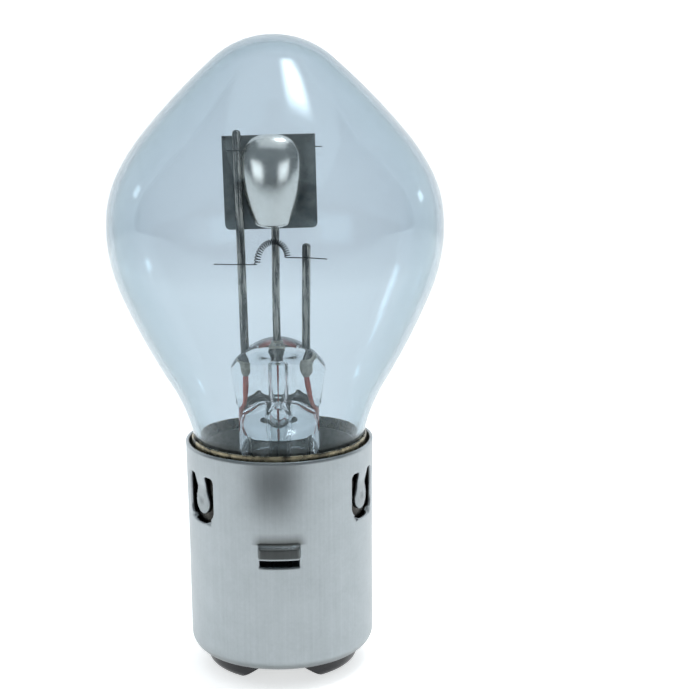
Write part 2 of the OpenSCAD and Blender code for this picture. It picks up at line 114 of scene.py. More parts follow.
def lathe(profile, segments=128, closed=False):
    """Points and faces of a profile of radius and height turned round Z. Points on the axis become poles."""
    verts, rings = [], []
    turn = np.linspace(0, 2 * math.pi, segments, endpoint=False)
    for r, z in profile:
        if r < 1e-6:
            rings.append([len(verts)] * segments)
            verts.append((0, 0, z))
        else:
            rings.append(list(range(len(verts), len(verts) + segments)))
            verts += [(r * math.cos(a), r * math.sin(a), z) for a in turn]
    pairs = list(zip(rings, rings[1:] + ([rings[0]] if closed else [])))[: len(rings) if closed else None]
    faces = []
    for a, b in pairs:
        for i in range(segments):
            j = (i + 1) % segments
            face = list(dict.fromkeys([a[i], a[j], b[j], b[i]]))
            if len(face) > 2:
                faces.append(face)
    return verts, faces


def rounded(points, radius, steps=3, closed=False):
    """A 2D outline whose corners are cut back by at most radius and rounded."""
    points = [np.array(p, float) for p in points]
    result = []
    count = len(points)
    for i, p in enumerate(points):
        if not closed and i in (0, count - 1):
            result.append(p)
            continue
        a, b = points[i - 1], points[(i + 1) % count]
        reach = min(radius, np.linalg.norm(a - p) / 2.01, np.linalg.norm(b - p) / 2.01)
        start = p + (a - p) / np.linalg.norm(a - p) * reach
        end = p + (b - p) / np.linalg.norm(b - p) * reach
        for k in range(steps + 1):
            t = k / steps
            result.append((1 - t) ** 2 * start + 2 * t * (1 - t) * p + t * t * end)
    return result


def smooth_path(points, steps=6):
    """A Catmull-Rom curve through the points."""
    points = [np.array(p, float) for p in points]
    ends = [2 * points[0] - points[1]] + points + [2 * points[-1] - points[-2]]
    path = []
    for i in range(1, len(ends) - 2):
        p0, p1, p2, p3 = ends[i - 1 : i + 3]
        for k in range(steps):
            t = k / steps
            path.append(0.5 * (2 * p1 + (p2 - p0) * t + (2 * p0 - 5 * p1 + 4 * p2 - p3) * t * t
                               + (3 * p1 - p0 - 3 * p2 + p3) * t ** 3))
    return path + [points[-1]]


def tube(path, radii, sides):
    """Points and faces of a closed tube along a path, with a radius at each point."""
    path = np.array(path, float)
    radii = np.broadcast_to(radii, len(path))
    tangents = np.gradient(path, axis=0)
    tangents /= np.linalg.norm(tangents, axis=1)[:, None]
    normal = np.cross(tangents[0], [0.3, 1, 0.2])
    verts, faces = [], []
    turn = np.linspace(0, 2 * math.pi, sides, endpoint=False)
    for p, t, r in zip(path, tangents, radii):
        normal = normal - t * (normal @ t)
        normal /= np.linalg.norm(normal)
        side = np.cross(t, normal)
        verts += [p + r * (math.cos(a) * normal + math.sin(a) * side) for a in turn]
    for i in range(len(path) - 1):
        for k in range(sides):
            a, b = i * sides + k, i * sides + (k + 1) % sides
            faces.append((a, b, b + sides, a + sides))
    faces.append(tuple(range(sides - 1, -1, -1)))
    faces.append(tuple(range((len(path) - 1) * sides, len(path) * sides)))
    return verts, faces


def tipped(path, radius, start, end):
    """A path and its radii, with rounded tips whose lengths are the shares start and end of the radius."""
    path = [np.array(p, float) for p in path]
    angles = np.radians([8, 30, 50, 70])
    points, radii = list(path), [radius] * len(path)
    out = (path[0] - path[1]) / np.linalg.norm(path[0] - path[1])
    points = [path[0] + out * radius * start * math.cos(a) for a in angles] + points
    radii = [radius * math.sin(a) for a in angles] + radii
    out = (path[-1] - path[-2]) / np.linalg.norm(path[-1] - path[-2])
    points += [path[-1] + out * radius * end * math.cos(a) for a in angles[::-1]]
    radii += [radius * math.sin(a) for a in angles[::-1]]
    return points, radii


def joined(parts):
    """Several lists of points and faces as one."""
    verts, faces = [], []
    for v, f in parts:
        base = len(verts)
        verts += [tuple(p) for p in v]
        faces += [tuple(i + base for i in face) for face in f]
    return verts, faces


# ---------------------------------------------------------------- outline and field helpers


def signed_area(loop):
    """Area inside the loop, above zero when it runs anticlockwise."""
    x, y = loop[:, 0], loop[:, 1]
    return 0.5 * np.sum(x * np.roll(y, -1) - np.roll(x, -1) * y)


def offset_loop(loop, grow):
    """The loop moved to its right-hand side by grow."""
    loop = np.array(loop)
    ahead = np.roll(loop, -1, 0) - np.roll(loop, 1, 0)
    ahead /= np.linalg.norm(ahead, axis=1)[:, None]
    return loop + grow * np.column_stack([ahead[:, 1], -ahead[:, 0]])


def resampled(loop, step):
    """The closed loop with points added so that no side is longer than step."""
    result = []
    for a, b in zip(loop, np.roll(loop, -1, 0)):
        count = max(1, math.ceil(np.linalg.norm(b - a) / step))
        result += [a + (b - a) * i / count for i in range(count)]
    return np.array(result)


def inside(points, loop):
    """Which points lie inside the loop."""
    result = np.zeros(len(points), bool)
    x, y = points[:, 0], points[:, 1]
    for (x0, y0), (x1, y1) in zip(loop, np.roll(loop, -1, 0)):
        crosses = (y0 > y) != (y1 > y)
        if y0 != y1:
            result ^= crosses & (x < (x1 - x0) * (y - y0) / (y1 - y0) + x0)
    return result


def distance_to(points, loop):
    """Least distance from each point to the loop's sides."""
    best = np.full(len(points), np.inf)
    for a, b in zip(loop, np.roll(loop, -1, 0)):
        side = b - a
        t = np.clip(((points - a) @ side) / (side @ side), 0, 1)
        best = np.minimum(best, np.linalg.norm(points - a - t[:, None] * side, axis=1))
    return best


def filled(points, loops):
    """Points and triangles of a flat area that keeps the loops' sides, and where each loop's points are."""
    starts = np.cumsum([len(points)] + [len(loop) for loop in loops])
    rings = [list(range(a, b)) for a, b in zip(starts, starts[1:])]
    sides = [side for ring in rings for side in zip(ring, ring[1:] + ring[:1])]
    flat = delaunay_2d_cdt([Vector(p) for p in np.vstack([points] + loops)], sides, [], 0, 1e-6)
    place = {source: i for i, sources in enumerate(flat[3]) for source in sources}
    points = np.array([tuple(p) for p in flat[0]])
    return points, np.array(flat[2]), [[place[i] for i in ring] for ring in rings]


def on_border(points, columns, rows):
    """Which points lie on the outer sides of a grid."""
    u, z = points[:, 0], points[:, 1]
    return ((np.abs(u - columns[0]) < 1e-6) | (np.abs(u - columns[-1]) < 1e-6)
            | (np.abs(z - rows[0]) < 1e-6) | (np.abs(z - rows[-1]) < 1e-6))


def bridged(rings, closed=True):
    """Faces between rings of the same length."""
    faces = []
    for a, b in zip(rings, rings[1:]):
        for i in range(len(a) if closed else len(a) - 1):
            j = (i + 1) % len(a)
            faces.append((a[i], a[j], b[j], b[i]))
    return faces


def ease(x):
    """A smooth step from 0 to 1."""
    x = np.clip(x, 0, 1)
    return x * x * (3 - 2 * x)


def blend(a, b, k):
    """Union of two distance fields with a soft fillet of about k."""
    h = np.clip(0.5 + 0.5 * (b - a) / k, 0, 1)
    return b + (a - b) * h - k * h * (1 - h)


def blend_max(a, b, k):
    """Intersection of two distance fields with a soft edge of about k."""
    return -blend(-a, -b, k)


def carve(a, b, k):
    """Field a with b cut out of it, with a soft edge of about k."""
    return -blend(-a, b, k)


# ---------------------------------------------------------------- material helpers


class Surface:
    """A Principled material whose colour, roughness and bump come from procedural nodes."""

    def __init__(self, name, **inputs):
        self.material = bpy.data.materials.new(name)
        self.material.use_nodes = True
        self.tree = self.material.node_tree
        self.shader = self.tree.nodes["Principled BSDF"]
        for key, value in inputs.items():
            self.shader.inputs[key.replace("_", " ")].default_value = value
        self.place = self.add("ShaderNodeTexCoord").outputs["Object"]

    def add(self, kind, **settings):
        """A new node with its settings."""
        node = self.tree.nodes.new(kind)
        for key, value in settings.items():
            setattr(node, key, value)
        return node

    def link(self, output, target):
        self.tree.links.new(output, target)

    def noise(self, scale, detail=4.0, roughness=0.55, stretch=(1, 1, 1), where=None):
        """Noise whose scale is in features per millimetre."""
        mapping = self.add("ShaderNodeMapping")
        mapping.inputs["Scale"].default_value = [s * scale / MM for s in stretch]
        self.link(where or self.place, mapping.inputs["Vector"])
        node = self.add("ShaderNodeTexNoise")
        node.inputs["Scale"].default_value = 1.0
        node.inputs["Detail"].default_value = detail
        node.inputs["Roughness"].default_value = roughness
        self.link(mapping.outputs["Vector"], node.inputs["Vector"])
        return node.outputs["Fac"]

    def ramp(self, factor, stops):
        """A colour ramp with stops of position and colour."""
        node = self.add("ShaderNodeValToRGB")
        elements = node.color_ramp.elements
        while len(elements) < len(stops):
            elements.new(0.5)
        for element, (position, color) in zip(elements, stops):
            element.position = position
            element.color = (*color, 1)
        self.link(factor, node.inputs["Fac"])
        return node.outputs["Color"]

    def spread(self, factor, low, high, start=0.3, end=0.7, kind="LINEAR"):
        """Maps a factor from start..end to low..high."""
        node = self.add("ShaderNodeMapRange", interpolation_type=kind)
        node.inputs["From Min"].default_value = start
        node.inputs["From Max"].default_value = end
        node.inputs["To Min"].default_value = low
        node.inputs["To Max"].default_value = high
        self.link(factor, node.inputs["Value"])
        return node.outputs["Result"]

    def math(self, operation, a, b=None):
        """The result of an operation on one or two values or sockets."""
        node = self.add("ShaderNodeMath", operation=operation)
        for value, socket in zip((a, b), node.inputs):
            if isinstance(value, (int, float)):
                socket.default_value = value
            elif value is not None:
                self.link(value, socket)
        return node.outputs["Value"]

    def color(self, output):
        self.link(output, self.shader.inputs["Base Color"])

    def roughness(self, output):
        self.link(output, self.shader.inputs["Roughness"])

    def bump(self, height, distance, strength=1.0):
        """Bump with its height in millimetres."""
        node = self.add("ShaderNodeBump")
        node.inputs["Strength"].default_value = strength
        node.inputs["Distance"].default_value = distance * MM
        self.link(height, node.inputs["Height"])
        self.link(node.outputs["Normal"], self.shader.inputs["Normal"])

    def xyz(self):
        """The three coordinates of the surface, in metres."""
        split = self.add("ShaderNodeSeparateXYZ")
        self.link(self.place, split.inputs["Vector"])
        return [split.outputs[axis] for axis in "XYZ"]

    def round_the_axis(self):
        """Coordinates that run round the bulb's axis, in metres of arc on the barrel, and along it."""
        x, y, z = self.xyz()
        angle = self.math("ARCTAN2", x, self.math("MULTIPLY", y, -1))
        arc = self.math("MULTIPLY", angle, shell_high[0] * MM)
        join = self.add("ShaderNodeCombineXYZ")
        self.link(arc, join.inputs["X"])
        self.link(z, join.inputs["Z"])
        return join.outputs["Vector"]


# ---------------------------------------------------------------- materials

GLASS_TINT = (0.92, 0.94, 0.955)


def clear_glass():
    s = Surface("clear_glass", Transmission_Weight=1.0, Roughness=0.0, IOR=1.5)
    s.shader.inputs["Specular Tint"].default_value = (0.6, 0.72, 0.74, 1)
    facing = s.add("ShaderNodeLayerWeight")
    facing.inputs["Blend"].default_value = 0.5
    edge = s.math("ADD", facing.outputs["Facing"], s.math("MULTIPLY", s.noise(0.05, 2), 0.02))
    s.color(s.ramp(edge, [(0.4, GLASS_TINT), (0.75, (0.7, 0.79, 0.81)), (0.95, (0.34, 0.46, 0.48))]))
    body = s.add("ShaderNodeVolumeAbsorption")
    body.inputs["Color"].default_value = (0.066, 0.248, 0.35, 1)
    body.inputs["Density"].default_value = 500.0
    s.link(body.outputs["Volume"], s.tree.nodes["Material Output"].inputs["Volume"])
    return s.material


def stem_glass():
    s = Surface("stem_glass", Transmission_Weight=1.0, Roughness=0.0, IOR=1.5)
    cloud = s.noise(0.4, 2)
    s.color(s.ramp(cloud, [(0.3, (0.9, 0.93, 0.94)), (0.7, (0.94, 0.96, 0.965))]))
    return s.material


def nickel_wire():
    s = Surface("nickel_wire", Metallic=1.0, Roughness=0.25)
    streak = s.noise(3.2, 5, stretch=(1, 1, 0.1))
    dark, middle, bright = (0.06, 0.062, 0.066), (0.2, 0.198, 0.19), (0.5, 0.48, 0.44)
    s.color(s.ramp(streak, [(0.36, dark), (0.5, middle), (0.62, bright)]))
    s.roughness(s.spread(streak, 0.18, 0.34))
    s.bump(streak, 0.01, 0.5)
    return s.material


def dark_plate():
    s = Surface("shield_plate", Metallic=1.0, Roughness=0.4)
    stain_and_painted_shade = s.noise(0.7, 5)
    # The plate's dark grey base colour is painted shade: it stands in for the dark surroundings that the flat
    # plate reflects. The noise mottles it.
    s.color(s.ramp(stain_and_painted_shade, [(0.3, (0.1, 0.11, 0.11)), (0.75, (0.2, 0.21, 0.205))]))
    s.roughness(s.spread(stain_and_painted_shade, 0.34, 0.5))
    s.bump(s.noise(2.0, 4), 0.01, 0.4)
    return s.material


def bright_cup():
    s = Surface("shield_cup", Metallic=1.0, Roughness=0.2)
    grain = s.noise(4.0, 4)
    s.color(s.ramp(grain, [(0.3, (0.84, 0.82, 0.77)), (0.7, (0.92, 0.9, 0.85))]))
    s.roughness(s.spread(grain, 0.2, 0.27))
    s.bump(grain, 0.004, 0.3)
    return s.material


def tungsten():
    s = Surface("tungsten", Metallic=1.0, Roughness=0.35)
    grain = s.noise(6.0, 3)
    s.color(s.ramp(grain, [(0.3, (0.02, 0.02, 0.022)), (0.7, (0.06, 0.06, 0.06))]))
    return s.material


def weld_bead():
    s = Surface("weld_bead", Metallic=0.2, Roughness=0.45)
    grain = s.noise(2.5, 5)
    s.color(s.ramp(grain, [(0.3, (0.5, 0.47, 0.38)), (0.6, (0.85, 0.82, 0.71))]))
    s.bump(grain, 0.06, 0.6)
    return s.material


def copper_clad():
    s = Surface("copper_clad", Metallic=0.35, Roughness=0.4)
    grain = s.noise(1.6, 4, stretch=(1, 1, 0.4))
    s.color(s.ramp(grain, [(0.3, (0.62, 0.08, 0.06)), (0.7, (0.86, 0.22, 0.16))]))
    return s.material


def collar_brass():
    s = Surface("collar_brass", Metallic=1.0, Roughness=0.3)
    wear = s.noise(0.9, 5)
    # Below the rim the collar is painted near black: painted shade where it lies inside the barrel behind the
    # windows. The noise adds wear.
    rim = s.spread(s.xyz()[2], 0.3, 1, (RIM_Z - 1.5) * MM, (RIM_Z - 0.4) * MM)
    s.color(s.ramp(s.math("MULTIPLY", wear, rim),
                   [(0.12, (0.015, 0.014, 0.012)), (0.35, (0.07, 0.065, 0.05)), (0.62, (0.42, 0.37, 0.25))]))
    s.roughness(s.spread(wear, 0.2, 0.36))
    return s.material


def cement():
    s = Surface("cement", Roughness=0.85)
    grain = s.noise(2.0, 6)
    s.color(s.ramp(grain, [(0.3, (0.2, 0.18, 0.15)), (0.7, (0.34, 0.31, 0.27))]))
    s.bump(grain, 0.1, 0.6)
    return s.material


def painted_cap_shade(s):
    """How much painted shade darkens the cap's metal: most on the face of a lug, a painted dark reflection,
    less just above it, a painted shadow, and a little on the tongues, painted shade where they are pushed in.
    """
    x, y, z = s.xyz()
    radius = s.math("SQRT", s.math("ADD", s.math("MULTIPLY", x, x), s.math("MULTIPLY", y, y)))

    def band(value, up_start, up_end, down_start, down_end):
        return s.math("MULTIPLY", s.spread(value, 0, 1, up_start * MM, up_end * MM),
                      s.spread(value, 1, 0, down_start * MM, down_end * MM))

    out = s.spread(radius, 0, 1, 10.15 * MM, 10.4 * MM)
    face = s.math("MULTIPLY", out, band(z, LUG_Z + 0.08, LUG_Z + 0.16, LUG_Z + 1.22, LUG_Z + 1.34))
    middle = s.spread(s.math("ABSOLUTE", x), 1, 0, 1.9 * MM, 3.0 * MM)
    above = s.math("MULTIPLY", middle, band(z, LUG_Z + 1.3, LUG_Z + 1.42, LUG_Z + 1.42, LUG_Z + 2.7))
    tongue = s.spread(radius, 1, 0, 9.74 * MM, 9.92 * MM)
    # The painted shade of the lug face, the band above it and the tongues, added up.
    stain_and_painted_shade = s.math("ADD", s.math("MULTIPLY", face, 0.66), s.math("MULTIPLY", above, 0.85))
    return s.math("ADD", stain_and_painted_shade, s.math("MULTIPLY", tongue, 0.3))


def cap_metal():
    s = Surface("cap_metal", Metallic=1.0, Roughness=0.3)
    around = s.round_the_axis()
    lines = s.noise(3.2, 6, 0.7, stretch=(1, 1, 0.012), where=around)
    cloud = s.noise(0.35, 5, 0.65)
    speck = s.noise(2.5, 5, 0.7)
    mixed = s.math("ADD", s.math("MULTIPLY", lines, 0.4), s.math("MULTIPLY", cloud, 0.35))
    mixed = s.math("ADD", mixed, s.math("MULTIPLY", speck, 0.25))
    metal_without_painted_shade = s.ramp(mixed, [(0.32, (0.33, 0.365, 0.38)), (0.68, (0.43, 0.47, 0.49))])
    # Colour B is near black painted shade, laid over the metal by the painted shade masks.
    mix = s.add("ShaderNodeMix", data_type="RGBA")
    s.link(painted_cap_shade(s), mix.inputs["Factor"])
    s.link(metal_without_painted_shade, mix.inputs["A"])
    mix.inputs["B"].default_value = (0.05, 0.052, 0.042, 1)
    s.color(mix.outputs["Result"])
    s.roughness(s.spread(lines, 0.36, 0.43))
    s.bump(lines, 0.006, 0.3)
    return s.material


def black_insulator():
    s = Surface("black_insulator", Roughness=0.18)
    grain = s.noise(0.8, 4)
    s.color(s.ramp(grain, [(0.3, (0.004, 0.004, 0.005)), (0.7, (0.012, 0.013, 0.017))]))
    s.roughness(s.spread(grain, 0.12, 0.26))
    return s.material


def contact_brass():
    s = Surface("contact_brass", Metallic=1.0, Roughness=0.3)
    grain = s.noise(1.5, 4)
    s.color(s.ramp(grain, [(0.3, (0.5, 0.38, 0.16)), (0.7, (0.68, 0.54, 0.28))]))
    return s.material


def solder():
    s = Surface("solder", Metallic=1.0, Roughness=0.3)
    grain = s.noise(1.2, 5)
    s.color(s.ramp(grain, [(0.3, (0.45, 0.45, 0.45)), (0.7, (0.68, 0.68, 0.68))]))
    s.roughness(s.spread(grain, 0.22, 0.42))
    s.bump(grain, 0.03, 0.5)
    return s.material


def pale_paper():
    """Backlit paper, a little darker on the wall and much darker under and behind the camera."""
    s = Surface("pale_paper", Roughness=0.9, Emission_Strength=1.0)
    y = s.xyz()[1]
    far = s.spread(y, 0, 1, 0.204, 0.222)
    near = s.spread(y, 0, 1, -0.23, -0.1)
    grain = s.noise(0.05, 3)
    paper = s.math("ADD", s.math("MULTIPLY", near, 0.9), s.math("MULTIPLY", grain, 0.05))
    s.color(s.ramp(paper, [(0, (0.2, 0.205, 0.21)), (0.95, (0.8, 0.81, 0.815))]))
    glow = s.math("ADD", s.math("MULTIPLY", near, 0.5), s.math("MULTIPLY", far, 0.5))
    s.link(s.ramp(glow, [(0, (0.03, 0.03, 0.03)), (0.5, (0.62, 0.63, 0.63)), (1, (0.45, 0.465, 0.49))]),
           s.shader.inputs["Emission Color"])
    return s.material


# ---------------------------------------------------------------- camera, stage and light


def make_camera():
    """A long lens a little to one side and above, turned slightly right of the bulb's axis."""
    distance, height, around = 175.3, EDGE_Z + 72.7, 1.3
    pitch, yaw, roll = 12.61, 2.34, -0.5
    data = bpy.data.cameras.new("camera")
    data.sensor_width = 36.0
    data.lens = 87.4
    data.clip_start = 0.01
    camera = bpy.data.objects.new("camera", data)
    scene.collection.objects.link(camera)
    turn = Matrix.Rotation(math.radians(around), 4, "Z")
    aim = (Matrix.Rotation(math.radians(-yaw), 4, "Z") @ Matrix.Rotation(math.radians(90 - pitch), 4, "X")
           @ Matrix.Rotation(math.radians(roll), 4, "Z"))
    camera.matrix_world = turn @ Matrix.Translation(Vector((0, -distance, height)) * MM) @ aim
    scene.camera = camera


def make_stage():
    """A pale light table whose far end bends up into a wall."""
    reach, depth, bend_r, wall_h = 800.0, 234.0, 35.0, 900.0
    bend = [(depth - bend_r + bend_r * math.sin(a), bend_r - bend_r * math.cos(a))
            for a in np.radians(np.arange(0, 91, 10))]
    profile = [(-reach, 0), (0, 0)] + bend + [(depth, wall_h)]
    verts = [(x, y, z) for x in (-reach, reach) for y, z in profile]
    count = len(profile)
    faces = [(i, i + count, i + count + 1, i + 1) for i in range(count - 1)]
    mesh = bpy.data.meshes.new("floor")
    mesh.from_pydata((np.array(verts) * MM).tolist(), [], faces)
    mesh.polygons.foreach_set("use_smooth", [True] * len(mesh.polygons))
    mesh.materials.append(pale_paper())
    floor = bpy.data.objects.new("floor", mesh)
    scene.collection.objects.link(floor)


def card_glow(name, strength, soft):
    """A panel's white glow, which fades out over the outer share of each side given by soft."""
    s = Surface(name)
    s.tree.nodes.remove(s.shader)
    split = s.add("ShaderNodeSeparateXYZ")
    s.link(s.add("ShaderNodeTexCoord").outputs["Generated"], split.inputs["Vector"])
    away = [s.math("ABSOLUTE", s.math("SUBTRACT", split.outputs[axis], 0.5)) for axis in "XY"]
    fades = [s.spread(side, 1, 0, 0.5 - soft, 0.5, "SMOOTHSTEP") for side in away]
    glow = s.add("ShaderNodeEmission")
    glow.inputs["Strength"].default_value = strength
    mix = s.add("ShaderNodeMixShader")
    s.link(s.math("MULTIPLY", *fades), mix.inputs["Fac"])
    s.link(s.add("ShaderNodeBsdfTransparent").outputs["BSDF"], mix.inputs[1])
    s.link(glow.outputs["Emission"], mix.inputs[2])
    s.link(mix.outputs["Shader"], s.tree.nodes["Material Output"].inputs["Surface"])
    return s.material


def card(name, place, target, size, strength, soft=0.25):
    """A reflector or lamp panel in millimetres, out of the camera's sight, whose glow fades at its edges."""
    w, h = size[0] / 2, size[1] / 2
    mesh = bpy.data.meshes.new(name)
    corners = [(x * MM, y * MM, 0) for x, y in ((-w, -h), (w, -h), (w, h), (-w, h))]
    mesh.from_pydata(corners, [], [(0, 1, 2, 3)])
    mesh.materials.append(card_glow(name, strength, soft))
    panel = bpy.data.objects.new(name, mesh)
    scene.collection.objects.link(panel)
    face(panel, place, target)
    panel.visible_camera = False
    panel.visible_shadow = False
    return panel


def face(thing, place, target):
    """Puts a panel or lamp at a place, in millimetres, and turns it to a target."""
    thing.location = Vector(place) * MM
    thing.rotation_euler = (Vector(target) - Vector(place)).to_track_quat("-Z", "Y").to_euler()


def area_light(name, place, target, size, power):
    """A rectangular soft light in millimetres that faces its target."""
    data = bpy.data.lights.new(name, "AREA")
    data.shape = "RECTANGLE"
    data.size, data.size_y = size[0] * MM, size[1] * MM
    data.energy = power
    lamp = bpy.data.objects.new(name, data)
    scene.collection.objects.link(lamp)
    face(lamp, place, target)


def make_light():
    """The lights: a wide one overhead, a panel overhead for the highlight on the glass, panels at the sides
    that show only through the glass, and a dark card that makes the soft patch on the barrel."""
    world = bpy.data.worlds.new("world")
    scene.world = world
    world.use_nodes = True
    background = world.node_tree.nodes["Background"]
    background.inputs["Color"].default_value = (0.85, 0.93, 1.0, 1)
    background.inputs["Strength"].default_value = 0.22
    area_light("top_light", (60, 0, 900), (0, 0, 0), (1200, 1000), 3.0)
    side_panels = [("strip_left", (-320, -360, 105), (400, 230), 2.6),
                   ("strip_right", (290, -385, 105), (360, 230), 2.4),
                   ("kicker_left", (-270, 131, 132), (44, 44), 9),
                   ("kicker_right", (252, 163, 96), (44, 34), 9)]
    for name, place, size, strength in side_panels:
        panel = card(name, place, (0, 0, 50), size, strength)
        panel.visible_glossy = False
    overhead = card("overhead", (150, 22, 640), (150, 22, 0), (215, 215), 16, 0.4)
    overhead.rotation_euler = (0, 0, math.radians(12))
    dark = card("dark_card", (-1.4, -20.5, EDGE_Z + 17.1), (-0.4, -10, EDGE_Z + 18.5), (30, 9.5), 0.0, 0.4)
    dark.visible_diffuse = False
    dark.visible_transmission = False
    scene.view_settings.view_transform = "Standard"


make_camera()
make_stage()
make_light()

# ---------------------------------------------------------------- glass bulb

GLASS_ARCS = [(9.4, 41), (68, 50.15), (23, 61.5), (12, 85), (18.1, 112.5), (72, 121), (-20, 90)]
GLASS_T = 0.7


def glass_bulb():
    """A blown glass shell of even thickness, whose two faces are chains of arcs with shared centres."""
    seal_z = node_box("glass_envelope")[0][2]
    outer = arc_chain((0, GLASS_TOP), 0, GLASS_ARCS)
    inner = arc_chain((0, GLASS_TOP - GLASS_T), 0, [(r - GLASS_T, end) for r, end in GLASS_ARCS])
    neck_r = outer[-1][0]
    foot = rounded([(neck_r, seal_z + 1), (neck_r, seal_z), (neck_r - GLASS_T, seal_z),
                    (neck_r - GLASS_T, seal_z + 1)], 0.3)
    verts, faces = lathe(outer + foot + inner[::-1], 192)
    bulb = make_piece("glass_bulb", verts, faces, clear_glass(), "clear_glass", ["glass_envelope"])
    bulb.visible_shadow = False


# ---------------------------------------------------------------- materials of the CAD nodes

NODE_MATERIALS = {
    "stem_glass": stem_glass, "exhaust_tube": stem_glass,
    "common_support_wire": nickel_wire, "dipped_support_wire": nickel_wire, "main_support_wire": nickel_wire,
    "shield_plate": dark_plate, "shield_cup": bright_cup,
    "main_filament": tungsten, "dipped_filament": tungsten, "lead_weld_knots": weld_bead,
    "common_seal_wire": copper_clad, "dipped_seal_wire": copper_clad, "main_seal_wire": copper_clad,
    "common_feed_wire": nickel_wire, "dipped_feed_wire": nickel_wire, "main_feed_wire": nickel_wire,
    "inner_collar": collar_brass, "basing_cement": cement, "cap_shell": cap_metal,
    "ground_solder": solder, "insulator": black_insulator,
    "dipped_contact": contact_brass, "main_contact": contact_brass,
    "dipped_solder": solder, "main_solder": solder,
}
made = {}
for node, maker in NODE_MATERIALS.items():
    if maker not in made:
        made[maker] = maker()
    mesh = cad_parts[node].data
    mesh.materials.clear()
    mesh.materials.append(made[maker])
for node in ("stem_glass", "exhaust_tube"):
    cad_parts[node].visible_shadow = False

# ---------------------------------------------------------------- cap shell


def wrapped(u, centre):
    """Arc length in millimetres from a centre given in degrees from the front."""
    turn = 2 * math.pi * BARREL_R
    return (u - math.radians(centre) * BARREL_R + turn / 2) % turn - turn / 2


def barrel_wall(z):
    """Radius, height and outward normal of the sheet's outer face, for a height z of the flat blank.

    Below the bend, z is measured along the lip that turns inwards."""
    turn = np.clip((EDGE_Z + BEND_R - z) / BEND_R, 0, math.pi / 2)
    spread = RIM_SPREAD * np.clip((z - CYLINDER_TOP) / (RIM_Z - CYLINDER_TOP), 0, 1)
    radius = BARREL_R + spread - BEND_R * (1 - np.cos(turn))
    height = np.where(turn > 0, EDGE_Z + BEND_R - BEND_R * np.sin(turn), z)
    return radius, height, np.cos(turn), -np.sin(turn)


def push(u, z):
    """How far the sheet stands out of the barrel: at the two lugs, and inwards at the three tongues."""
    out = np.zeros_like(u)
    for centre in LUGS:
        x = np.abs(wrapped(u, centre))
        side = ease((LUG_W / 2 + 0.05 - x) / 0.42)
        above = z - LUG_Z - LUG_FACE
        top = ease((LUG_SLOPE + 0.12 - above) / (LUG_SLOPE + 0.24))
        lean = 1 - 0.28 * np.clip((z - LUG_Z) / LUG_FACE, 0, 1)
        out += np.where(z > LUG_Z - 0.02, LUG_OUT * side * top * lean, 0)
    for centre in TONGUES:
        x = np.abs(wrapped(u, centre))
        within = (x < WINDOW_W / 2 - 0.5) & (z > WINDOW_Z + 0.2) & (z < WINDOW_Z + WINDOW_H)
        drop = ease((WINDOW_Z + WINDOW_H - z) / 1.6)
        weld = np.hypot(x, z - WINDOW_Z - TONGUE_GAP - WELD_Z)
        dimple = 0.1 * ease((0.55 - weld) / 0.25) - 0.04 * ease((0.25 - np.abs(weld - 0.62)) / 0.2)
        out -= np.where(within, TONGUE_IN * drop + dimple, 0)
    return out


def slot_outline():
    """The slot under a lug, which is the gap that the lug's metal leaves."""
    w, z0, z1 = LUG_W / 2 - 0.14, LUG_Z - SLOT_H, LUG_Z
    return rounded([(-w, z0), (w, z0), (w, z1), (-w, z1)], 0.16, closed=True)


def tongue_gap_outline():
    """The U-shaped cut that leaves a tongue hanging from the window's upper edge."""
    w, z0, z1 = WINDOW_W / 2, WINDOW_Z, WINDOW_Z + WINDOW_H
    end_z = z0 + TONGUE_GAP + TONGUE_W / 2
    root, r = TONGUE_ROOT / 2, TONGUE_W / 2
    outer = rounded([(-root, z1 - 0.7), (-root, z1), (-w, z1), (-w, z0 + 1.05), (-w + 1.2, z0), (w - 1.2, z0),
                     (w, z0 + 1.05), (w, z1), (root, z1), (root, z1 - 0.7)], 0.6, 6)
    side = rounded([(root, z1 - 0.8), (root, z1 - 1.5), (r, end_z + 0.3), (r, end_z)], 0.8, 5)
    end = [(r * math.cos(a), end_z - r * math.sin(a)) for a in np.radians(np.arange(8, 173, 8))]
    back = [(-x, z) for x, z in side[::-1]]
    return outer + [np.array(p, float) for p in side + end + back]


def sheet_point(u, z, depth):
    """Points of the sheet at arc u and height z, at a depth below its outer face."""
    u, z = np.asarray(u, float), np.asarray(z, float)
    e = 0.02
    lift = push(u, z)
    slope_u = (push(u + e, z) - lift) / e
    slope_z = (push(u, z + e) - lift) / e
    steep = (np.abs(slope_u) > 4) | (np.abs(slope_z) > 4)
    slope_u, slope_z = np.where(steep, 0, slope_u), np.where(steep, 0, slope_z)
    r, h, nr, nz = barrel_wall(z)
    angle = u / BARREL_R + math.radians(FRONT)
    radial = np.column_stack([np.cos(angle), np.sin(angle), np.zeros_like(angle)])
    along = np.column_stack([-np.sin(angle), np.cos(angle), np.zeros_like(angle)])
    up = np.array([0, 0, 1.0])
    face_normal = radial * nr[:, None] + up * nz[:, None]
    sheet_up = up * nr[:, None] - radial * nz[:, None]
    normal = face_normal - along * slope_u[:, None] - sheet_up * slope_z[:, None]
    normal /= np.linalg.norm(normal, axis=1)[:, None]
    return radial * r[:, None] + up * h[:, None] + face_normal * lift[:, None] - normal * depth


def cut_outlines():
    """The outlines of the slots and tongue gaps on the flat blank, in arc length and height."""
    start, turn = math.radians(SEAM) * BARREL_R, 2 * math.pi * BARREL_R
    cuts = [np.array(slot_outline()) + [math.radians(centre) * BARREL_R, 0] for centre in LUGS]
    cuts += [np.array(tongue_gap_outline()) + [math.radians(centre) * BARREL_R, 0] for centre in TONGUES]
    cuts = [resampled(cut, 0.22) for cut in cuts]
    return [cut + [turn if cut[:, 0].mean() < start else 0, 0] for cut in cuts]


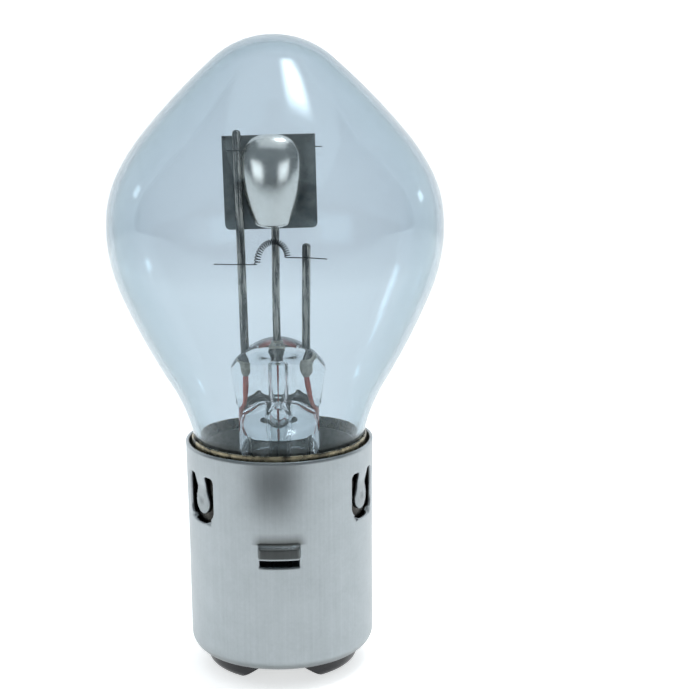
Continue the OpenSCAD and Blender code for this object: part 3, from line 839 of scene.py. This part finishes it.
def blank_points(columns, rows, cuts):
    """Points of the flat blank: a grid, finer where the lugs stand out, and none in or close to a cut."""
    uu, zz = np.meshgrid(columns, rows)
    points = np.column_stack([uu.ravel(), zz.ravel()])
    patches = []
    for centre in (2 * math.pi * BARREL_R, math.pi * BARREL_R):
        fine_u, fine_z = np.meshgrid(np.arange(-2.7, 2.71, 0.12), np.arange(LUG_Z + 0.12, LUG_Z + 2.4, 0.12))
        patch = np.column_stack([fine_u.ravel() + centre, fine_z.ravel()])
        patches.append(patch)
        within = ((points > patch.min(0) - 0.1) & (points < patch.max(0) + 0.1)).all(1)
        points = points[~within | on_border(points, columns, rows)]
    points = np.vstack([points] + patches)
    for cut in cuts:
        near = distance_to(points, cut) < 0.09
        points = points[on_border(points, columns, rows) | ~(inside(points, cut) | near)]
    return points


def cap_shell():
    """One blank of sheet metal, cut flat with its slots and tongues, and rolled into the barrel."""
    start, turn = math.radians(SEAM) * BARREL_R, 2 * math.pi * BARREL_R
    z_low, z_high = EDGE_Z + BEND_R * (1 - math.pi / 2), RIM_Z
    columns = np.linspace(start, start + turn, 321)
    lip = np.linspace(z_low, EDGE_Z + BEND_R, 10)[:-1]
    rows = np.concatenate([lip, np.linspace(EDGE_Z + BEND_R, z_high, 64)])
    cuts = cut_outlines()
    grown = [offset_loop(cut, math.copysign(CUT_EDGE, signed_area(cut))) for cut in cuts]
    points, triangles, loops = filled(blank_points(columns, rows, grown), grown)
    for cut in grown:
        triangles = triangles[~inside(points[triangles].mean(1), cut)]
    count = len(points)
    verts = [sheet_point(points[:, 0], points[:, 1], depth) for depth in (0.0, SHEET)]
    faces = [tuple(t) for t in triangles] + [tuple(t[::-1] + count) for t in triangles]
    base = 2 * count
    rims = [(loop, cut, 0.0, True) for loop, cut in zip(loops, cuts)]
    for z, away in ((z_low, 0.0), (z_high, 0.05)):
        row = np.flatnonzero(np.abs(points[:, 1] - z) < 1e-6)
        row = row[np.argsort(points[row, 0])].tolist()
        rims.append((row, points[row], away, False))
    for rim, edge, away, closed in rims:
        rings = [rim]
        for depth in (CUT_EDGE, SHEET - CUT_EDGE):
            verts.append(sheet_point(edge[:, 0], edge[:, 1], depth) + [0, 0, away])
            rings.append(list(range(base, base + len(rim))))
            base += len(rim)
        rings.append([i + count for i in rim])
        faces += bridged(rings, closed)
    make_piece("barrel", np.vstack(verts), faces, made[cap_metal], "cap_metal", ["cap_shell"])


# ---------------------------------------------------------------- stem

SEAL_Z, STEM_FOOT_Z, PRESS_Z, PRESS_TOP = 13.0, 7.8, 29.9, EDGE_Z + 34.35
FLARE_R, STEM_R, STEM_WALL = 8.6, 4.3, 1.0
BORE_Z, BORE_H = 26.2, 4.5
ARCH_R, PILLAR_R, TUBE_R, CHANNEL_R = 5.9, 2.05, 1.2, 0.85
HOLE_Z, HOLE_R, HOLE_WALL = 28.7, 0.85, 0.3


def stem_tube(x, y, z):
    """The flared tube, pinched from front and back near its top, with a bore that ends in a wedge."""
    rr = np.hypot(x, y)
    flare = STEM_R + (FLARE_R - STEM_R) * np.clip((PRESS_Z - z) / (PRESS_Z - SEAL_Z), 0, 1) ** 1.5
    outer = blend_max(rr - flare, SEAL_Z - 0.3 - z, 0.3)
    pinch = STEM_R - 2.8 * ease((z - 27.4) / 3.4)
    waist = (np.hypot(x / (STEM_R + 0.05), y / pinch) - 1) * pinch
    body = blend_max(np.maximum(outer, waist), z - PRESS_Z - 1, 0.5)
    bore_r = flare - STEM_WALL
    flat = np.maximum(1 - (z - BORE_Z) / BORE_H, 0.02)
    narrow = np.clip(1 - (z - BORE_Z - 2) / (BORE_H - 2), 0.02, 1)
    wedge = (np.hypot(x / narrow, y / flat) - bore_r) * flat * 0.8
    bore = blend_max(np.where(z < BORE_Z, rr - bore_r, wedge), z - BORE_Z - BORE_H + 0.1, 0.1)
    return carve(body, bore, 0.2)


def stem_press(x, y, z):
    """The flat press: wider upwards, with an arched top that is thick in the middle."""
    half_w = np.interp(z, [29.8, 33.5], [4.6, 5.2])
    arch_z = PRESS_TOP - ARCH_R
    arch = np.where(z > arch_z, np.hypot(x, z - arch_z) - ARCH_R, -5)
    outline = blend_max(blend_max(np.abs(x) - half_w, arch, 0.3), 29.4 - z, 0.3)
    half_t = 1.35 + 1.45 * np.exp(-((x / 2.6) ** 2)) * ease((z - 33.6) / 2)
    round_h = 0.8 + 0.4 * ease((z - 33.5) / 2) * np.exp(-((x / 3.2) ** 2))
    depth = np.maximum(round_h + outline, 0) / round_h
    return ((depth ** 3 + np.abs(y / half_t) ** 3) ** (1 / 3) - 1) * half_t


def stem_field(p):
    """Distance to the surface of the stem's glass: flared tube, press, pillar and exhaust tube in one."""
    x, y, z = p
    rr = np.hypot(x, y)
    from_hole = np.hypot(x, z - HOLE_Z) - HOLE_R
    pillar = blend_max(rr - PILLAR_R, z - PRESS_TOP + 0.7, 0.8)
    pillar = blend_max(pillar, PRESS_Z + 0.4 - z, 0.4)
    tube = blend_max(blend_max(rr - TUBE_R, z - 33.2, 0.3), STEM_FOOT_Z - z, 0.4)
    boss = np.maximum(from_hole - HOLE_WALL, np.maximum(y - 0.3, -3 - y))
    solid = blend(blend(stem_tube(x, y, z), stem_press(x, y, z), 0.6), pillar, 0.7)
    solid = blend(blend(solid, tube, 0.3), boss, 0.3)
    channel = blend_max(blend_max(rr - CHANNEL_R, z - 34.4, 0.8), STEM_FOOT_Z + 1.4 - z, 0.3)
    hole = blend_max(from_hole, y + 0.2, 0.3)
    return carve(carve(solid, channel, 0.12), hole, 0.3)


def stem():
    """The stem's glass as one smooth surface, drawn round the zero level of its field."""
    step = 0.17
    low = np.array([-9.2, -9.2, 7.0])
    count = np.ceil(np.array([18.4, 18.4, 30.2]) / step).astype(int)
    axes = [low[i] + step * np.arange(count[i]) for i in range(3)]
    grid = np.array(np.meshgrid(*axes, indexing="ij"))
    values = stem_field(grid).astype(np.float32)
    volume = openvdb.FloatGrid()
    volume.background = 3.0
    volume.copyFromArray(values)
    verts, quads = volume.convertToQuads(0.0)
    verts = low + verts * step
    e = 0.01
    for _ in range(4):
        value = stem_field(verts.T)
        slope = np.array([(stem_field((verts + d).T) - stem_field((verts - d).T)) / (2 * e)
                          for d in np.eye(3) * e]).T
        size = np.maximum((slope ** 2).sum(1), 0.04)
        verts = verts - np.clip(value / size, -0.1, 0.1)[:, None] * slope
    nodes = ["stem_glass", "exhaust_tube"]
    make_piece("stem", verts, quads.tolist(), made[stem_glass], "stem_glass", nodes)


# ---------------------------------------------------------------- wires

WIRE_R, MIDDLE_WIRE_R, FILAMENT_R = 0.45, 0.42, 0.058
MAIN_Z, DIPPED_Z, COIL_Y = EDGE_Z + 42.7, EDGE_Z + 54.4, -0.27
BEHIND_PLATE_Y = 0.86


def support_wires():
    """Three drawn nickel wires, slightly out of straight."""
    ways = {
        "common_support_wire": (WIRE_R, [(-3.5, 0, 33), (-3.62, 0.03, 39), (-3.74, -0.02, 47), (-3.88, 0, 54),
                                         (-3.95, 0, 58.1)]),
        "main_support_wire": (WIRE_R, [(3, 0, 33), (3.06, -0.02, 37), (3.14, 0.02, 42), (3.2, 0, 46.2)]),
        "dipped_support_wire": (MIDDLE_WIRE_R, [(-0.1, 1.23, 34.2), (-0.13, 1.23, 40), (-0.08, 1.23, 46),
                                                (-0.1, 1.23, 50)]),
    }
    for node, (r, way) in ways.items():
        verts, faces = tube(*tipped(smooth_path(way, 10), r, 0.4, 0.75), 32)
        make_piece(node.replace("_wire", ""), verts, faces, made[nickel_wire], "nickel_wire", [node])


def filament_wire(points, name, node):
    """A piece of tungsten wire, coil and legs in one, along its points."""
    verts, faces = tube(points, FILAMENT_R, 8)
    make_piece(name, verts, faces, made[tungsten], "tungsten", [node])


def main_filament():
    """A coil of tungsten bent into a slightly leaning arch, with two legs in front of the support wires."""
    turns, steps, coil_r = 23, 20, 0.3
    arch_x, arch_w, arch_h = -0.42, 1.62, 2.0
    left_z, right_z = MAIN_Z - 0.3, MAIN_Z + 0.42
    points = []
    for i in range(turns * steps + 1):
        t = i / (turns * steps)
        a = math.pi * (1 - t)
        out = np.array([math.cos(a) / arch_w, 0, math.sin(a) / (arch_h + 0.05)])
        out /= np.linalg.norm(out)
        turn = 2 * math.pi * i / steps - math.pi / 2
        foot_z = left_z + (right_z - left_z) * t
        centre = np.array([arch_x + arch_w * math.cos(a), COIL_Y, foot_z + arch_h * math.sin(a)])
        points.append(centre + coil_r * (math.cos(turn) * out + math.sin(turn) * np.array([0, 1, 0])))
    y = points[0][1]
    left = [(-6.6, y - 0.02, left_z + 0.1), (-4.6, y, left_z + 0.03), (-2.6, y, left_z), points[0]]
    right = [points[-1], (2.2, y, right_z - 0.03), (3.6, y, right_z - 0.08), (5.4, y - 0.02, right_z - 0.22)]
    filament_wire(smooth_path(left)[:-1] + points + smooth_path(right)[1:], "main_coil", "main_filament")


def dipped_filament():
    """A straight coil inside the cup; one leg leaves through the cup's side and one behind the plate."""
    turns, steps, coil_r = 16.25, 18, 0.23
    start_x, length = -2.1, 3.5
    count = int(turns * steps)
    points = []
    for i in range(count + 1):
        turn = 2 * math.pi * i / steps - math.pi / 2
        points.append(np.array([start_x + length * i / count, COIL_Y + coil_r * math.sin(turn),
                                DIPPED_Z + coil_r * math.cos(turn)]))
    y, top = points[0][1], points[-1][2]
    left = [(-4.95, y, DIPPED_Z), (-3.4, y, DIPPED_Z), points[0]]
    right = [points[-1], (1.5, 0.1, top)] + [(x, BEHIND_PLATE_Y, top) for x in (1.5, 2.6, 4.95)]
    filament_wire(smooth_path(left)[:-1] + points + smooth_path(right)[1:], "dipped_coil", "dipped_filament")


def weld_knots():
    """Bubbly sleeves of metal and glass where the nickel wires meet the sealing wires."""
    outline = [(0, 0), (0.3, 0), (0.46, 0.03), (0.62, 0.12), (0.84, 0.24), (0.97, 0.38), (1, 0.6),
               (0.98, 0.85), (0.92, 0.95), (0.8, 1), (0, 1)]
    knots = [((-3.5, 0, 32.3), 1.75, 0.52), ((3.02, 0, 32.2), 2.1, 0.72), ((-0.1, 1.175, 33.5), 0.9, 0.46)]
    parts = []
    for foot, height, radius in knots:
        verts, faces = lathe([(x * radius, z * height) for x, z in outline], 40)
        verts = np.array(verts, float)
        turn = np.arctan2(verts[:, 1], verts[:, 0])
        wave = 0.05 * np.sin(3 * turn + verts[:, 2] * 4) + 0.03 * np.sin(5 * turn - verts[:, 2] * 7)
        verts[:, :2] *= (1 + wave)[:, None]
        parts.append((verts + foot, faces))
    make_piece("weld_knots", *joined(parts), made[weld_bead], "weld_bead", ["lead_weld_knots"])


def seal_wires():
    """Copper-clad sealing wires that run down through the press, a little uneven in thickness."""
    ways = {
        "common_seal_wire": ((-3.5, 0, 32.5), (-3.6, 0, 26.3), 0.27),
        "main_seal_wire": ((3, 0, 32.5), (3.9, 0, 26.3), 0.27),
        "dipped_seal_wire": ((-0.1, 1.175, 33.7), (-0.2, 2.2, 26.3), 0.15),
    }
    shares = np.linspace(0, 1, 24)
    for node, (top, foot, r) in ways.items():
        path = [np.array(top) + (np.array(foot) - top) * t for t in shares]
        verts, faces = tube(path, r * (1 + 0.15 * np.sin(9 * shares)), 20)
        make_piece(node.replace("_wire", ""), verts, faces, made[copper_clad], "copper_clad", [node])


# ---------------------------------------------------------------- shield

CUP_X, CUP_HALF_W, CUP_DEPTH = -0.38, 3.2, 2.4
CUP_WIDE_Z, CUP_DEEP_Z = EDGE_Z + 53.0, EDGE_Z + 51.0
CUP_TOP_Z, CUP_FOOT_Z = EDGE_Z + 55.9, EDGE_Z + 46.15
PLATE_Y = 0.5


def cup_half_width(z):
    """Half width of the cup's rim at height z: a blunt egg with a narrower, nearly flat foot."""
    t = np.clip((z - CUP_WIDE_Z) / (CUP_TOP_Z - CUP_WIDE_Z), 0, 1)
    s = np.clip((CUP_WIDE_Z - z) / (CUP_WIDE_Z - CUP_FOOT_Z), 0, 1)
    foot = math.sqrt(1 - np.clip((s - 0.92) / 0.08, 0, 1) ** 2)
    return CUP_HALF_W * ((1 - t ** 2.6) ** (1 / 2.6) if z > CUP_WIDE_Z else (1 - 0.47 * s ** 2.1) * foot)


def cup_depth(z):
    """Depth of the cup's bowl at height z, deepest a little above its middle."""
    t = np.clip((z - CUP_DEEP_Z) / (CUP_TOP_Z - CUP_DEEP_Z), 0, 1)
    s = np.clip((CUP_DEEP_Z - z) / (CUP_DEEP_Z - CUP_FOOT_Z), 0, 1)
    foot = math.sqrt(1 - np.clip((s - 0.9) / 0.1, 0, 1) ** 2)
    return (1 - t ** 2.2) ** 0.5 * CUP_DEPTH if z > CUP_DEEP_Z else (CUP_DEPTH - s ** 1.6) * foot


def shield_cup():
    """A pressed cup, open at the back, with a faint dimple near its foot."""
    heights, turns = 80, 56
    spread = 0.5 - 0.5 * np.cos(np.linspace(0.02, math.pi - 0.02, heights))
    levels = CUP_FOOT_Z + (CUP_TOP_Z - CUP_FOOT_Z) * spread
    verts, faces = [], []
    for inset in (0.0, 0.2):
        for z in levels:
            w, depth = max(cup_half_width(z) - inset, 0.01), max(cup_depth(z) - inset, 0.01)
            for a in np.linspace(0, math.pi, turns):
                x, y = -math.cos(a) * w, math.sin(a) * depth
                dent = 0.07 * math.exp(-((x / 0.45) ** 2 + ((z - CUP_FOOT_Z - 1.0) / 0.4) ** 2))
                verts.append((CUP_X + x, PLATE_Y - y + dent * (y > 0.5), z))
    total = heights * turns
    for base, flip in ((0, 1), (total, -1)):
        for i in range(heights - 1):
            for k in range(turns - 1):
                a = base + i * turns + k
                faces.append((a, a + 1, a + turns + 1, a + turns)[::flip])
    edge = ([i * turns for i in range(heights)] + [(heights - 1) * turns + k for k in range(1, turns)]
            + [i * turns + turns - 1 for i in range(heights - 2, -1, -1)] + list(range(turns - 2, 0, -1)))
    for a, b in zip(edge, edge[1:] + edge[:1]):
        faces.append((a, b, b + total, a + total))
    make_piece("cup", verts, faces, made[bright_cup], "shield_cup", ["shield_cup"])


def shield_plate():
    """A square stamped plate with rounded lower corners and an opening behind the filament."""
    half, t, corner_r, edge, tilt = 4.9, 0.3, 0.65, 0.05, math.radians(1)
    centre_x, centre_z = -0.55, EDGE_Z + 50.95
    hole_x, hole_z, hole_r, hole_half = CUP_X - centre_x, 54.2 - centre_z, 1.9, 1.6
    corners = [(-half, half), (-half, -half), (half, -half), (half, half)]
    hole = [(hole_x + hole_r * math.cos(a),
             hole_z + hole_r * math.sin(a) + math.copysign(hole_half, math.sin(a) + 1e-9))
            for a in np.radians(np.arange(0, 360, 7.5))]
    loops = [resampled(np.array(loop), 0.5) for loop in (rounded(corners, corner_r, 6), hole)]
    full, triangles, rings = filled(np.zeros((0, 2)), loops)
    middles = full[triangles].mean(1)
    triangles = triangles[inside(middles, loops[0]) & ~inside(middles, loops[1])]
    cut_back = full.copy()
    for loop, ring, way in zip(loops, rings, (-1, 1)):
        cut_back[ring] = offset_loop(loop, way * math.copysign(edge, signed_area(loop)))
    verts, count = [], len(full)
    for y, flat in ((0.0, cut_back), (edge, full), (t - edge, full), (t, cut_back)):
        x = flat[:, 0] * math.cos(tilt) - flat[:, 1] * math.sin(tilt)
        z = flat[:, 0] * math.sin(tilt) + flat[:, 1] * math.cos(tilt)
        verts.append(np.column_stack([x + centre_x, np.full(count, PLATE_Y + y), z + centre_z]))
    faces = [tuple(f) for f in triangles] + [tuple(f[::-1] + 3 * count) for f in triangles]
    for ring in rings:
        faces += bridged([[i + k * count for i in ring] for k in range(4)])
    make_piece("plate", np.vstack(verts), faces, made[dark_plate], "shield_plate", ["shield_plate"])


# ---------------------------------------------------------------- collar


def collar():
    """The rolled strip between the glass and the barrel, with rounded edges."""
    inner_r, outer_r, low, high = 9.23, 9.45, EDGE_Z + 14.7, RIM_Z + 0.5
    corners = [(inner_r, low), (outer_r, low), (outer_r, high), (inner_r, high)]
    verts, faces = lathe(rounded(corners, 0.08, 3, closed=True), 192, closed=True)
    make_piece("collar", verts, faces, made[collar_brass], "collar_brass", ["inner_collar"])


# ---------------------------------------------------------------- all pieces

glass_bulb()
cap_shell()
stem()
support_wires()
main_filament()
dipped_filament()
weld_knots()
seal_wires()
shield_plate()
shield_cup()
collar()
